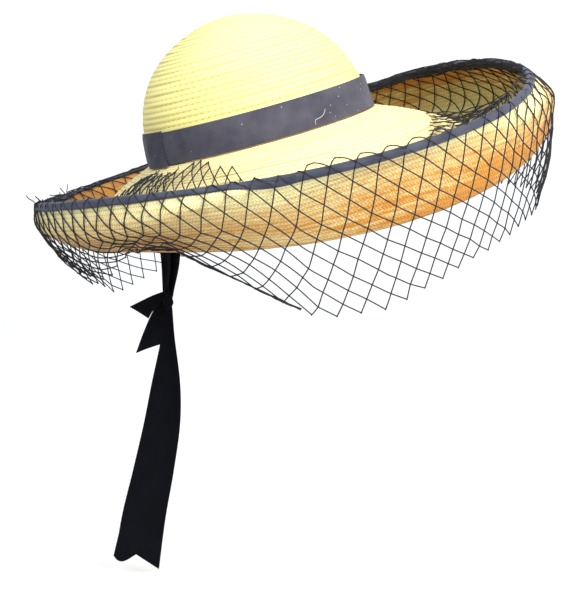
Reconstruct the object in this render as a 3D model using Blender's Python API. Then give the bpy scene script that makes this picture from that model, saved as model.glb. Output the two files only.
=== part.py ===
# Wide brim straw hat with a velvet band, a bound edge, a net veil and a ribbon tie.
# Metres, +Z up, the front of the hat at -Y and the wearer's left at +X.
# The origin is the centre of the head opening, where a head holds the hat up.

from math import cos, pi, radians, sin

import bmesh
import bpy
from mathutils import Euler, Vector

# Sizes of the straw body
OPENING_LENGTH = 0.190
OPENING_WIDTH = 0.165
STRAW_WALL = 0.002
CLEARANCE = 0.0003
CROWN_HEIGHT = 0.099
CROWN_LEAN = 0.12
CROWN_SHOULDER = 3.2
CROWN_ROUNDNESS = 1.75
CROWN_SHIFT = 0.006
COLLAR_HEIGHT = 0.004
BRIM_REACH = 0.144
BRIM_DROP = 0.072

# Sizes of the velvet trims
BAND_HEIGHT = 0.0265
BAND_BASE = 0.0012
BAND_THICKNESS = 0.0012
TAB_WIDTH = 0.027
TAB_THICKNESS = 0.0014
TAB_OVERHANG = 0.0012
BINDING_WIDTH = 0.0065
BINDING_THICKNESS = 0.001

# Sizes of the net veil
VEIL_FALL = 0.125
VEIL_STAND_OFF = 0.0032
VEIL_TIP_RISE = 0.003
STRAND_WIDTH = 0.0016
STRAND_DEPTH = 0.0012
VEIL_COLUMNS = 30
VEIL_ROWS = 5
STRAND_PIECES = 2

# Sizes of the ribbon tie
RIBBON_WIDTH = 0.036
RIBBON_THICKNESS = 0.001
STRAP_ANGLE = radians(11)
STRAP_LAP = 0.014
STRAP_SEAT = 0.0006
STRAP_DROP = 0.094
KNOT_WIDTH = 0.012
KNOT_DEPTH = 0.009
KNOT_HEIGHT = 0.018
LONG_TAIL = 0.205
SHORT_TAIL = 0.044
TAIL_NOTCH = 0.012

# How the hat sits: raised at the front, and a little on the wearer's right
WORN_TILT = radians(15)
SIDE_TILT = radians(4)

# How finely the round pieces are divided
COLUMNS = 48
CROWN_RINGS = 6
SPAN_PIECES = (2, 2, 4, 3)
CURVE_STEPS = 12

# The brim's section at four places, from the collar out: the outward parts are
# shares of BRIM_REACH and the downward parts are shares of BRIM_DROP. The corner lies
# halfway between the back and the side, where the edge curls in over the roll.
BRIM_SECTIONS = (
    dict(place="back", flare_out=0.28, flare_down=0.28, trough_out=0.33, trough_down=0.71,
         bulge_out=0.61, bulge_down=0.43, edge_out=0.645, edge_down=0.04),
    dict(place="side", flare_out=0.25, flare_down=0.26, trough_out=0.66, trough_down=1.00,
         bulge_out=0.87, bulge_down=0.38, edge_out=1.00, edge_down=0.23),
    dict(place="front", flare_out=0.24, flare_down=0.19, trough_out=0.80, trough_down=0.70,
         bulge_out=0.99, bulge_down=0.39, edge_out=0.74, edge_down=-0.13),
    dict(place="corner", flare_out=0.27, flare_down=0.28, trough_out=0.45, trough_down=0.86,
         bulge_out=0.755, bulge_down=0.31, edge_out=0.74, edge_down=0.16),
)
SECTION_KNOTS = ("flare", "trough", "bulge", "edge")

# The veil's lower edge on one side, by degrees from the back: out is a share of
# BRIM_REACH and down is a share of VEIL_FALL. The other side is its mirror image.
VEIL_HEM = (
    dict(degrees=0, out=0.45, down=0.65),
    dict(degrees=15, out=0.48, down=0.59),
    dict(degrees=30, out=0.55, down=0.49),
    dict(degrees=45, out=0.59, down=0.66),
    dict(degrees=60, out=0.67, down=0.95),
    dict(degrees=75, out=0.72, down=1.00),
    dict(degrees=90, out=0.72, down=0.94),
    dict(degrees=105, out=0.75, down=0.90),
    dict(degrees=120, out=0.76, down=0.86),
    dict(degrees=150, out=0.79, down=0.83),
    dict(degrees=180, out=0.79, down=0.80),
)

# The tab over the band's join: the height is a share of the tab's and the width is a
# share of TAB_WIDTH.
TAB_ROWS = (
    dict(height=0.0, width=1.00),
    dict(height=0.25, width=0.90),
    dict(height=0.5, width=0.86),
    dict(height=0.75, width=0.90),
    dict(height=1.0, width=1.00),
)

# The straps from the opening's edge (0) to the knot (1): the width is a share of
# RIBBON_WIDTH, and bow, the push to the back, is a share of STRAP_DROP.
STRAP_ROWS = (
    dict(down=0.0, width=0.70, bow=0.0),
    dict(down=0.3, width=0.62, bow=0.02),
    dict(down=0.7, width=0.42, bow=0.01),
    dict(down=1.0, width=0.20, bow=0.0),
)

# The tails from the knot (0) to the tip (1): down and back are shares of the tail's
# length, the width is a share of RIBBON_WIDTH, and cup, the hollow of the ribbon's
# face, is a share of its width there.
LONG_TAIL_ROWS = (
    dict(down=0.0, back=0.0, width=0.20, cup=0.0),
    dict(down=0.10, back=0.0, width=0.28, cup=0.25),
    dict(down=0.28, back=0.01, width=0.62, cup=0.20),
    dict(down=0.44, back=0.03, width=0.80, cup=0.15),
    dict(down=0.62, back=0.07, width=0.90, cup=0.10),
    dict(down=0.80, back=0.115, width=0.97, cup=0.06),
    dict(down=1.0, back=0.15, width=1.0, cup=0.0),
)
UPPER_TAIL_ROWS = (
    dict(down=0.0, back=0.0, width=0.22, cup=0.0),
    dict(down=0.08, back=0.25, width=0.40, cup=0.15),
    dict(down=0.24, back=0.55, width=0.58, cup=0.10),
)
LOWER_TAIL_ROWS = (
    dict(down=0.0, back=0.0, width=0.22, cup=0.0),
    dict(down=0.30, back=0.10, width=0.38, cup=0.15),
    dict(down=0.68, back=0.26, width=0.62, cup=0.10),
)
TAIL_FACING = radians(57)


def material(name, colour, roughness):
    shader = bpy.data.materials.new(name)
    shader.use_nodes = True
    surface = shader.node_tree.nodes["Principled BSDF"]
    surface.inputs["Base Color"].default_value = (*colour, 1.0)
    surface.inputs["Roughness"].default_value = roughness
    surface.inputs["Metallic"].default_value = 0.0
    return shader


def add_piece(name, body, shader, parent=None):
    # Turns a finished bmesh into a named, smooth shaded object
    bmesh.ops.recalc_face_normals(body, faces=body.faces)
    mesh = bpy.data.meshes.new(name)
    body.to_mesh(mesh)
    body.free()
    mesh.shade_smooth()
    mesh.set_sharp_from_angle(angle=radians(45))
    mesh.materials.append(shader)
    piece = bpy.data.objects.new(name, mesh)
    bpy.context.scene.collection.objects.link(piece)
    piece.parent = parent
    return piece


def skin(rows, wrap, turned=()):
    # Joins closed loops of points into one body, as a ring or with its two ends capped.
    # The sides in turned are split along their other diagonal, to match a neighbour.
    body = bmesh.new()
    loops = [[body.verts.new(point) for point in row] for row in rows]
    size = len(loops[0])
    count = len(loops) if wrap else len(loops) - 1
    for row in range(count):
        here = loops[row]
        after = loops[(row + 1) % len(loops)]
        for side in range(size):
            turn = (side + 1) % size
            corners = [here[side], here[turn], after[turn], after[side]]
            if side in turned:
                corners = corners[1:] + corners[:1]
            body.faces.new(corners[:3])
            body.faces.new((corners[2], corners[3], corners[0]))
    if not wrap:
        body.faces.new(loops[0])
        body.faces.new(loops[-1])
    return body


def oval_point(angle, out, height):
    # A point outside the middle of the straw wall, by the angle from the back
    half_length = (OPENING_LENGTH + STRAW_WALL) / 2
    half_width = (OPENING_WIDTH + STRAW_WALL) / 2
    normal = Vector((sin(angle) / half_width, cos(angle) / half_length, 0)).normalized()
    base = Vector((half_width * sin(angle), half_length * cos(angle), height))
    return base + normal * out


def smooth_curve(knots):
    # An even curve through the knots, as a chain of points with CURVE_STEPS in a span
    first = knots[0] * 2 - knots[1]
    last = knots[-1] * 2 - knots[-2]
    line = [first] + knots + [last]
    points = [knots[0]]
    for span in range(len(knots) - 1):
        before, start, end, after = line[span:span + 4]
        for step in range(1, CURVE_STEPS + 1):
            t = step / CURVE_STEPS
            points.append(0.5 * (2 * start + (end - before) * t
                                 + (2 * before - 5 * start + 4 * end - after) * t ** 2
                                 + (3 * start - before - 3 * end + after) * t ** 3))
    return points


def distances(points):
    # The way along the chain at each of its points
    along = [0.0]
    for start, end in zip(points, points[1:]):
        along.append(along[-1] + (end - start).length)
    return along


def point_at(points, along, distance):
    # The point of the chain at a distance along it
    for index in range(1, len(points)):
        if distance <= along[index] or index == len(points) - 1:
            span = along[index] - along[index - 1]
            share = min(1.0, (distance - along[index - 1]) / span)
            return points[index - 1].lerp(points[index], share)


def section_size(column, angle):
    # One size of the brim's section at an angle, blended from back, side and front, and
    # drawn to the corner's between the back and the sides
    back, side, front, corner = (row[column] for row in BRIM_SECTIONS)
    middle = (back + 2 * side + front) / 4
    lean = (back - front) / 2
    turn = (back - 2 * side + front) / 4
    size = middle + lean * cos(angle) + turn * cos(2 * angle)
    if cos(angle) > 0:
        size += (corner - middle - lean * cos(pi / 4)) * sin(2 * angle) ** 2
    return size


def brim_line(angle):
    # The middle of the brim's wall at an angle, as (out, height) from the head opening
    knots = [Vector((0.0, 0.0))]
    for knot in SECTION_KNOTS:
        out = section_size(knot + "_out", angle) * BRIM_REACH
        down = section_size(knot + "_down", angle) * BRIM_DROP
        knots.append(Vector((out, -down)))
    curve = smooth_curve(knots)
    along = distances(curve)
    line = [Vector((0.0, COLLAR_HEIGHT)), Vector((0.0, 0.0))]
    for span, pieces in enumerate(SPAN_PIECES):
        start = along[span * CURVE_STEPS]
        end = along[(span + 1) * CURVE_STEPS]
        if span == len(SPAN_PIECES) - 1:
            end -= BINDING_WIDTH
        for piece in range(1, pieces + 1):
            line.append(point_at(curve, along, start + (end - start) * piece / pieces))
    line.append(curve[-1])
    return line


def under_normals(line):
    # For each point of a section line, the direction out of the brim's underside
    normals = []
    for index in range(len(line)):
        before = line[max(index - 1, 0)]
        after = line[min(index + 1, len(line) - 1)]
        ways = [way.normalized() for way in (line[index] - before, after - line[index])
                if way.length > 0]
        way = sum(ways, Vector((0.0, 0.0))).normalized()
        normals.append(Vector((way.y, -way.x)))
    return normals


def add_crown(shader, parent):
    # A rounded dome, open below, whose rings shrink towards the top
    heights = [COLLAR_HEIGHT + CLEARANCE, BAND_HEIGHT / 2, BAND_HEIGHT]
    for ring in range(1, CROWN_RINGS + 1):
        rise = sin(pi / 2 * ring / (CROWN_RINGS + 0.45))
        heights.append(BAND_HEIGHT + (CROWN_HEIGHT - BAND_HEIGHT) * rise)
    outer = [crown_ring(height, 0.0) for height in heights]
    inner = [crown_ring(height, -STRAW_WALL) for height in heights]
    for ring in inner[3:]:
        for point in ring:
            point.z -= STRAW_WALL * (point.z - BAND_HEIGHT) / (CROWN_HEIGHT - BAND_HEIGHT)
    body = skin(outer[::-1] + inner, wrap=False)
    add_piece("crown", body, shader, parent)


def crown_ring(height, out, angles=None):
    # A ring of points outside the crown's outer face, at a height over the opening
    share = height / CROWN_HEIGHT
    size = (1 - CROWN_LEAN * share) * (1 - share ** CROWN_SHOULDER) ** (1 / CROWN_ROUNDNESS)
    half_length = OPENING_LENGTH / 2 + STRAW_WALL
    half_width = OPENING_WIDTH / 2 + STRAW_WALL
    if angles is None:
        angles = [2 * pi * column / COLUMNS for column in range(COLUMNS)]
    return [Vector(((half_width * size + out) * sin(angle),
                    (half_length * size + out) * cos(angle) + CROWN_SHIFT * share,
                    height)) for angle in angles]


def add_brim(shader, parent):
    # A bell that flares from the collar, sinks to a trough and rolls up to the edge
    rows = []
    for column in range(COLUMNS):
        angle = 2 * pi * column / COLUMNS
        line = brim_line(angle)
        normals = under_normals(line)
        under = [point + normal * STRAW_WALL / 2 for point, normal in zip(line, normals)]
        upper = [point - normal * STRAW_WALL / 2 for point, normal in zip(line, normals)]
        loop = [oval_point(angle, *point) for point in under + upper[::-1]]
        loop[0] = crown_ring(COLLAR_HEIGHT, -STRAW_WALL, [angle])[0]
        loop[-1] = crown_ring(COLLAR_HEIGHT, 0.0, [angle])[0]
        rows.append(loop)
    stations = len(rows[0]) // 2
    body = skin(rows, wrap=True, turned=range(stations, 2 * stations - 1))
    add_piece("brim", body, shader, parent)


def add_band(shader, parent):
    # A flat ribbon round the foot of the crown
    rows = []
    inner = CLEARANCE
    outer = CLEARANCE + BAND_THICKNESS
    heights = (BAND_BASE, BAND_HEIGHT / 2, BAND_HEIGHT)
    rings = [crown_ring(height, outer) for height in heights]
    rings += [crown_ring(height, inner) for height in reversed(heights)]
    for column in range(COLUMNS):
        rows.append([ring[column] for ring in rings])
    add_piece("hat_band", skin(rows, wrap=True), shader, parent)


def add_band_tab(shader, parent):
    # A waisted tab that covers the band's join at the back
    rows = []
    inner = CLEARANCE * 2 + BAND_THICKNESS
    outer = inner + TAB_THICKNESS
    for row in TAB_ROWS:
        height = BAND_BASE + (BAND_HEIGHT + TAB_OVERHANG - BAND_BASE) * row["height"]
        half_turn = TAB_WIDTH * row["width"] / OPENING_WIDTH
        angles = [half_turn * share for share in (-1, -0.5, 0, 0.5, 1)]
        face = crown_ring(height, outer, angles)
        back = crown_ring(height, inner, angles)
        rows.append(face + back[::-1])
    add_piece("band_tab", skin(rows, wrap=False), shader, parent)


def add_binding(shader, parent):
    # A ribbon folded over the brim's edge, with a leg on each face
    rows = []
    inner = STRAW_WALL / 2 + CLEARANCE
    outer = inner + BINDING_THICKNESS
    for column in range(COLUMNS):
        angle = 2 * pi * column / COLUMNS
        line = brim_line(angle)
        foot, edge = line[-2:]
        turned, under = under_normals(line)[-2:]
        way = (edge - foot).normalized()
        seat = edge + way * CLEARANCE
        crest = seat + way * BINDING_THICKNESS
        loop = [foot + turned * outer, edge + under * outer, crest + under * inner,
                crest - under * inner, edge - under * outer, foot - turned * outer,
                foot - turned * inner, seat - under * inner, seat + under * inner,
                foot + turned * inner]
        rows.append([oval_point(angle, *point) for point in loop])
    add_piece("edge_binding", skin(rows, wrap=True, turned=(4, 7, 8)), shader, parent)


def hem_point(angle):
    # The veil's lower edge at an angle, as (out, height)
    degrees = abs((angle * 180 / pi + 180) % 360 - 180)
    for start, end in zip(VEIL_HEM, VEIL_HEM[1:]):
        if degrees <= end["degrees"] + 1e-6:
            share = (degrees - start["degrees"]) / (end["degrees"] - start["degrees"])
            out = start["out"] + (end["out"] - start["out"]) * share
            down = start["down"] + (end["down"] - start["down"]) * share
            return Vector((out * BRIM_REACH, -down * VEIL_FALL))


def veil_line(angle):
    # The veil's section: over the rolled brim like a thread pulled tight to the hem
    line = brim_line(angle)
    normals = under_normals(line)
    away = STRAW_WALL / 2 + VEIL_STAND_OFF
    over = [point + normal * away for point, normal in zip(line, normals)]
    tip = over[-1] + (line[-1] - line[-2]).normalized() * VEIL_TIP_RISE
    taut = [tip]
    for point in over[:SPAN_PIECES[0] + 2:-1] + [hem_point(angle)]:
        while len(taut) > 1:
            first = taut[-1] - taut[-2]
            second = point - taut[-1]
            if first.x * second.y - first.y * second.x < 0:
                break
            taut.pop()
        taut.append(point)
    return taut


def veil_point(angle, share):
    # A point of the veil, by its angle and its share of the way down
    line = veil_line(angle)
    along = distances(line)
    return oval_point(angle, *point_at(line, along, along[-1] * share))


def add_veil(shader, parent):
    # A lattice of diamonds with zigzag edges, each strand a thin four sided bar
    def lattice_point(key):
        row, column = key
        share = row / (VEIL_ROWS * STRAND_PIECES)
        angle = pi * column / (VEIL_COLUMNS * STRAND_PIECES)
        if key not in middle:
            here = veil_point(angle, share)
            across = veil_point(angle + 0.01, share) - veil_point(angle - 0.01, share)
            low = veil_point(angle, min(share + 0.01, 1.0))
            high = veil_point(angle, max(share - 0.01, 0.0))
            normal = (low - high).cross(across).normalized()
            middle[key] = (here, normal)
            ridges[key] = (body.verts.new(here + normal * STRAND_DEPTH / 2),
                           body.verts.new(here - normal * STRAND_DEPTH / 2))
        return middle[key]

    def zigzag(start, steps):
        # The keys of the lattice points along a run of strands
        row, column = start
        keys = []
        for down, right in steps:
            for piece in range(STRAND_PIECES):
                keys.append((row, column % around))
                row += down
                column += right
        return keys

    def add_opening(keys):
        # The strands' sides that face one opening, or the space past an edge
        points = [lattice_point(key) for key in keys]
        sides = []
        for index, (here, normal) in enumerate(points):
            before = (here - points[index - 1][0]).normalized()
            after = (points[(index + 1) % len(points)][0] - here).normalized()
            side_before = before.cross(normal)
            inward = (side_before + after.cross(normal)).normalized()
            reach = STRAND_WIDTH / 2 / max(inward.dot(side_before), 0.4)
            sides.append(body.verts.new(here + inward * reach))
        for index, key in enumerate(keys):
            turn = (index + 1) % len(keys)
            over, under = ridges[key]
            over_next, under_next = ridges[keys[turn]]
            body.faces.new((over, over_next, sides[turn], sides[index]))
            body.faces.new((sides[index], sides[turn], under_next, under))

    body = bmesh.new()
    middle = {}
    ridges = {}
    around = 2 * VEIL_COLUMNS * STRAND_PIECES
    bottom = VEIL_ROWS * STRAND_PIECES
    for row in range(VEIL_ROWS - 1):
        for column in range(VEIL_COLUMNS):
            start = (row * STRAND_PIECES, (2 * column + row % 2) * STRAND_PIECES)
            add_opening(zigzag(start, ((1, 1), (1, -1), (-1, -1), (-1, 1))))
    add_opening(zigzag((0, 0), ((1, -1), (-1, -1)) * VEIL_COLUMNS))
    shift = (VEIL_ROWS % 2) * STRAND_PIECES
    add_opening(zigzag((bottom, shift), ((-1, 1), (1, 1)) * VEIL_COLUMNS))
    add_piece("veil_net", body, shader, parent)


def add_ribbon(name, rows, shader):
    # A thin flat ribbon through rows of three points: one edge, the middle, the other
    loops = []
    for index, row in enumerate(rows):
        before = rows[max(index - 1, 0)]
        after = rows[min(index + 1, len(rows) - 1)]
        normals = []
        for side in range(3):
            across = row[min(side + 1, 2)] - row[max(side - 1, 0)]
            normals.append(across.cross(after[side] - before[side]).normalized())
        half = RIBBON_THICKNESS / 2
        face = [point + normal * half for point, normal in zip(row, normals)]
        back = [point - normal * half for point, normal in zip(row, normals)]
        loops.append(face + back[::-1])
    return add_piece(name, skin(loops, wrap=False), shader)


def add_strap(name, hand, shader, sit, knot):
    # A strap from inside the crown's back wall down to the knot; hand 1 is the left
    rows = []
    angle = hand * STRAP_ANGLE
    half = STRAP_ROWS[0]["width"] * RIBBON_WIDTH / 2
    half_turn = half / (OPENING_WIDTH / 2)
    out = -STRAW_WALL - STRAP_SEAT - RIBBON_THICKNESS / 2
    for height in (STRAP_LAP, 0.0):
        angles = (angle - half_turn, angle, angle + half_turn)
        rows.append([sit @ point for point in crown_ring(height, out, angles)])
    top = rows[-1][1]
    foot = knot + Vector((hand * KNOT_WIDTH / 3.5, hand * RIBBON_THICKNESS,
                          KNOT_HEIGHT / 2 + CLEARANCE))
    for row in STRAP_ROWS[1:]:
        middle = top.lerp(foot, row["down"])
        middle += Vector((0, row["bow"] * STRAP_DROP, 0))
        middle.y += hand * 2.5 * RIBBON_THICKNESS * row["down"] * (1 - row["down"])
        across = Vector((row["width"] * RIBBON_WIDTH / 2, 0, 0))
        rows.append([middle - across, middle, middle + across])
    add_ribbon(name, rows, shader)


def tail_rows(table, length, root, slant, notch):
    # The rows of points of a tail that leaves the knot at its root
    rows = []
    across = Vector((cos(TAIL_FACING), sin(TAIL_FACING), 0))
    facing = Vector((-sin(TAIL_FACING), cos(TAIL_FACING), 0))
    for row in table:
        middle = root + Vector((0, row["back"], -row["down"])) * length
        half = across * row["width"] * RIBBON_WIDTH / 2
        cup = facing * row["cup"] * row["width"] * RIBBON_WIDTH
        rows.append([middle - half + cup, middle, middle + half + cup])
    near, centre, far = rows[-1]
    near.z += slant
    far.z -= slant
    centre.z += notch
    return rows


def add_knot(shader, knot):
    body = bmesh.new()
    bmesh.ops.create_uvsphere(body, u_segments=14, v_segments=8, radius=0.5)
    bmesh.ops.scale(body, vec=(KNOT_WIDTH, KNOT_DEPTH, KNOT_HEIGHT), verts=body.verts)
    piece = add_piece("ribbon_knot", body, shader)
    piece.location = knot


def add_tie(shader, sit):
    # Two straps, the knot and three tails, which hang straight down
    opening_back = sit @ Vector((0, OPENING_LENGTH / 2, 0))
    drop = STRAP_DROP + KNOT_HEIGHT / 2
    knot = opening_back + Vector((-opening_back.x, -KNOT_DEPTH * 0.4, -drop))
    add_strap("ribbon_strap_left", 1, shader, sit, knot)
    add_strap("ribbon_strap_right", -1, shader, sit, knot)
    add_knot(shader, knot)
    below = KNOT_HEIGHT / 2 + CLEARANCE
    root_reach = UPPER_TAIL_ROWS[0]["width"] * RIBBON_WIDTH / 2 * sin(TAIL_FACING)
    behind = KNOT_DEPTH / 2 + CLEARANCE + root_reach
    root = knot + Vector((0, 0, -below))
    rows = tail_rows(LONG_TAIL_ROWS, LONG_TAIL, root, 0.0, TAIL_NOTCH)
    add_ribbon("ribbon_tail_long", rows, shader)
    root = knot + Vector((0, behind, KNOT_HEIGHT * 0.1))
    rows = tail_rows(UPPER_TAIL_ROWS, SHORT_TAIL, root, -SHORT_TAIL * 0.1, 0.0)
    add_ribbon("ribbon_tail_upper", rows, shader)
    root = knot + Vector((KNOT_WIDTH / 3, behind, -KNOT_HEIGHT * 0.2))
    rows = tail_rows(LOWER_TAIL_ROWS, SHORT_TAIL, root, SHORT_TAIL * 0.05, 0.0)
    add_ribbon("ribbon_tail_lower", rows, shader)


def build_hat():
    for item in list(bpy.data.objects):
        bpy.data.objects.remove(item, do_unlink=True)
    straw = material("straw", (0.80, 0.60, 0.30), 0.65)
    band_velvet = material("band_velvet", (0.09, 0.10, 0.14), 0.95)
    binding_velvet = material("binding_velvet", (0.09, 0.10, 0.14), 0.95)
    net = material("net", (0.02, 0.02, 0.025), 0.7)
    ribbon = material("ribbon", (0.008, 0.008, 0.01), 0.9)
    seat = bpy.data.objects.new("hat_seat", None)
    seat.rotation_euler = Euler((-WORN_TILT, SIDE_TILT, 0))
    bpy.context.scene.collection.objects.link(seat)
    sit = seat.rotation_euler.to_matrix()
    add_crown(straw, seat)
    add_brim(straw, seat)
    add_band(band_velvet, seat)
    add_band_tab(band_velvet, seat)
    add_binding(binding_velvet, seat)
    add_veil(net, seat)
    add_tie(ribbon, sit)


build_hat()
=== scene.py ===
import random
from math import cos, pi, radians, sin, tau

import bpy
import numpy as np
from mathutils import Euler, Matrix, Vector


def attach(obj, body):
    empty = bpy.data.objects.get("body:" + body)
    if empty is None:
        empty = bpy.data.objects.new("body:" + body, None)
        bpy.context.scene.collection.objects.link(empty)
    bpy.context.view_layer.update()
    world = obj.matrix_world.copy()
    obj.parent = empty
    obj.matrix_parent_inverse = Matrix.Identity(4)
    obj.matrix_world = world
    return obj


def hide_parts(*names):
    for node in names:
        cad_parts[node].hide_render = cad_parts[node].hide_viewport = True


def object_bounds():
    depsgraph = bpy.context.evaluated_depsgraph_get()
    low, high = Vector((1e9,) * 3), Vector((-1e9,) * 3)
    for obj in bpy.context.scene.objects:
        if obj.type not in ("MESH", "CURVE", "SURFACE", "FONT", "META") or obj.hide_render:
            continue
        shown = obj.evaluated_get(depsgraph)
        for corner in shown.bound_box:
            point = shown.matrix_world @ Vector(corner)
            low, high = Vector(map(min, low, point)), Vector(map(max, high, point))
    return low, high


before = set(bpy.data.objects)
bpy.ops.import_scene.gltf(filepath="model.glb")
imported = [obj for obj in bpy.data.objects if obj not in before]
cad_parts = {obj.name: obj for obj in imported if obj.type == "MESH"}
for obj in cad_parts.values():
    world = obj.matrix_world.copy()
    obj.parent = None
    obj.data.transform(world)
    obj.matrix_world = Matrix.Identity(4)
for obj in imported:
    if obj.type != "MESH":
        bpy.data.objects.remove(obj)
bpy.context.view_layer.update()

random.seed(7)
rng = np.random.default_rng(7)
scene = bpy.context.scene

# the camera stands to the wearer's right and a little behind, level with the opening
view = {"azimuth": 32, "distance": 1.098, "height": -0.0036, "lens": 80.8,
        "aimAside": 0.0183, "aimHeight": -0.1336}


def addCamera():
    turn = radians(view["azimuth"])
    back = Vector((-cos(turn), sin(turn), 0)) * view["distance"]
    aim = Vector((-sin(turn), -cos(turn), 0)) * view["aimAside"]
    aim.z = view["aimHeight"]
    data = bpy.data.cameras.new("camera")
    data.lens = view["lens"]
    data.sensor_width = 36
    data.clip_start = 0.01
    camera = bpy.data.objects.new("camera", data)
    camera.location = (back.x, back.y, view["height"])
    camera.rotation_euler = (aim - camera.location).to_track_quat("-Z", "Y").to_euler()
    scene.collection.objects.link(camera)
    scene.camera = camera


addCamera()
print("camera placed")

# the hat's own sizes in metres, with sections as shares of reach and drop
hat = {"length": 0.190, "width": 0.165, "wall": 0.002, "crownHeight": 0.099, "lean": 0.12,
       "shoulder": 3.2, "roundness": 1.75, "shift": 0.006, "collar": 0.004,
       "reach": 0.144, "drop": 0.072, "frontTilt": 15, "sideTilt": 4}


def table(columns, *rows):
    return [dict(zip(columns.split(), row)) for row in rows]


# the corner lies halfway between back and side
brimSections = table(
    "place flareOut flareDown troughOut troughDown bulgeOut bulgeDown edgeOut edgeDown",
    ("back", 0.28, 0.28, 0.33, 0.71, 0.61, 0.43, 0.645, 0.04),
    ("side", 0.25, 0.26, 0.66, 1.00, 0.87, 0.38, 1.00, 0.23),
    ("front", 0.24, 0.19, 0.80, 0.70, 0.99, 0.39, 0.74, -0.13),
    ("corner", 0.27, 0.28, 0.45, 0.86, 0.755, 0.31, 0.74, 0.16))
sit = Euler((-radians(hat["frontTilt"]), radians(hat["sideTilt"]), 0)).to_matrix()
sitArray = np.array(sit)


def place(angle, out, height):
    # world points by the angle from the back, the way outside the wall, and the height
    angle, out, height = np.broadcast_arrays(angle, out, height)
    halfLength = (hat["length"] + hat["wall"]) / 2
    halfWidth = (hat["width"] + hat["wall"]) / 2
    nx, ny = np.sin(angle) / halfWidth, np.cos(angle) / halfLength
    size = np.hypot(nx, ny)
    x = halfWidth * np.sin(angle) + out * nx / size
    y = halfLength * np.cos(angle) + out * ny / size
    return np.stack([x, y, height], -1) @ sitArray.T


def crownSize(share):
    return (1 - hat["lean"] * share) * (1 - share ** hat["shoulder"]) ** (1 / hat["roundness"])


def crownPlace(angle, height, out=0.0):
    # world points on the crown's outer face, or outside it
    share = np.clip(height / hat["crownHeight"], 0, 1)
    size = crownSize(share)
    x = ((hat["width"] / 2 + hat["wall"]) * size + out) * np.sin(angle)
    y = ((hat["length"] / 2 + hat["wall"]) * size + out) * np.cos(angle)
    x, y, z = np.broadcast_arrays(x, y + hat["shift"] * share, height)
    return np.stack([x, y, z], -1) @ sitArray.T


def smoothLine(knots, steps):
    # an even curve through the knots
    knots = np.asarray(knots, float)
    line = np.vstack([2 * knots[0] - knots[1], knots, 2 * knots[-1] - knots[-2]])
    t = np.linspace(0, 1, steps, endpoint=False)[:, None]
    spans = []
    for before, start, end, after in zip(line, line[1:], line[2:], line[3:]):
        spans.append(0.5 * (2 * start + (end - before) * t
                            + (2 * before - 5 * start + 4 * end - after) * t ** 2
                            + (3 * start - before - 3 * end + after) * t ** 3))
    return np.vstack(spans + [knots[-1:]])


def wayAlong(line):
    steps = np.linalg.norm(np.diff(line, axis=0), axis=1)
    return np.concatenate([[0], np.cumsum(steps)])


def between(stops, along, values):
    return np.column_stack([np.interp(stops, along, column) for column in values.T])


def pick(line, stops):
    # the points of a line at the given distances along it
    return between(stops, wayAlong(line), line)


def sectionSize(column, angle):
    back, side, front, corner = (row[column] for row in brimSections)
    middle = (back + 2 * side + front) / 4
    lean = (back - front) / 2
    size = middle + lean * cos(angle) + (back - 2 * side + front) / 4 * cos(2 * angle)
    if cos(angle) > 0:
        size += (corner - middle - lean * cos(pi / 4)) * sin(2 * angle) ** 2
    return size


def brimLine(angle):
    # the middle of the brim's wall at an angle, from the collar to the edge
    knots = [(0.0, 0.0)]
    for knot in ("flare", "trough", "bulge", "edge"):
        knots.append((sectionSize(knot + "Out", angle) * hat["reach"],
                      -sectionSize(knot + "Down", angle) * hat["drop"]))
    return smoothLine(knots, 30)


def underWays(line):
    way = np.gradient(line, axis=0)
    way /= np.linalg.norm(way, axis=1)[:, None]
    return np.column_stack([way[:, 1], -way[:, 0]])


def addMesh(name, points, faces, shader, uvs=None, smooth=True):
    mesh = bpy.data.meshes.new(name)
    faces = np.asarray(faces).tolist() if isinstance(faces, np.ndarray) else faces
    mesh.from_pydata(np.asarray(points).reshape(-1, 3).tolist(), [], faces)
    if uvs is not None:
        layer = mesh.uv_layers.new(name="braid")
        layer.data.foreach_set("uv", np.asarray(uvs, np.float32).ravel())
    if smooth:
        mesh.shade_smooth()
    mesh.materials.append(shader)
    mesh.validate()
    piece = bpy.data.objects.new(name, mesh)
    scene.collection.objects.link(piece)
    return piece


def finishPiece(piece, slot, *nodes):
    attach(piece, "root")
    if nodes:
        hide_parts(*nodes)


# node helpers
def newMaterial(name):
    shader = bpy.data.materials.new(name)
    shader.use_nodes = True
    return shader, shader.node_tree, shader.node_tree.nodes["Principled BSDF"]


def addNode(tree, kind):
    return tree.nodes.new("ShaderNode" + kind)


def fillIn(tree, node, **values):
    # sets a node's inputs by name, to a value or to another node's output
    for label, value in values.items():
        socket = node.inputs[label]
        if isinstance(value, (int, float, tuple)):
            socket.default_value = (*value, 1) if isinstance(value, tuple) else value
        else:
            tree.links.new(value, socket)
    return node.outputs


def splitUp(tree, vector):
    node = addNode(tree, "SeparateXYZ")
    tree.links.new(vector, node.inputs[0])
    return node.outputs


def objectPlace(tree):
    return addNode(tree, "TexCoord").outputs["Object"]


def calc(tree, kind, first, second=0.5, clamp=False):
    node = addNode(tree, "Math")
    node.operation = kind
    node.use_clamp = clamp
    for index, value in enumerate((first, second)):
        if isinstance(value, (int, float)):
            node.inputs[index].default_value = value
        else:
            tree.links.new(value, node.inputs[index])
    return node.outputs[0]


def sums(tree):
    def times(first, second, clamp=False):
        return calc(tree, "MULTIPLY", first, second, clamp)

    def plus(first, second, clamp=False):
        return calc(tree, "ADD", first, second, clamp)

    def minus(first, second, clamp=False):
        return calc(tree, "SUBTRACT", first, second, clamp)

    def use(kind, first, second=0.5):
        return calc(tree, kind, first, second)
    return times, plus, minus, use


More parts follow.
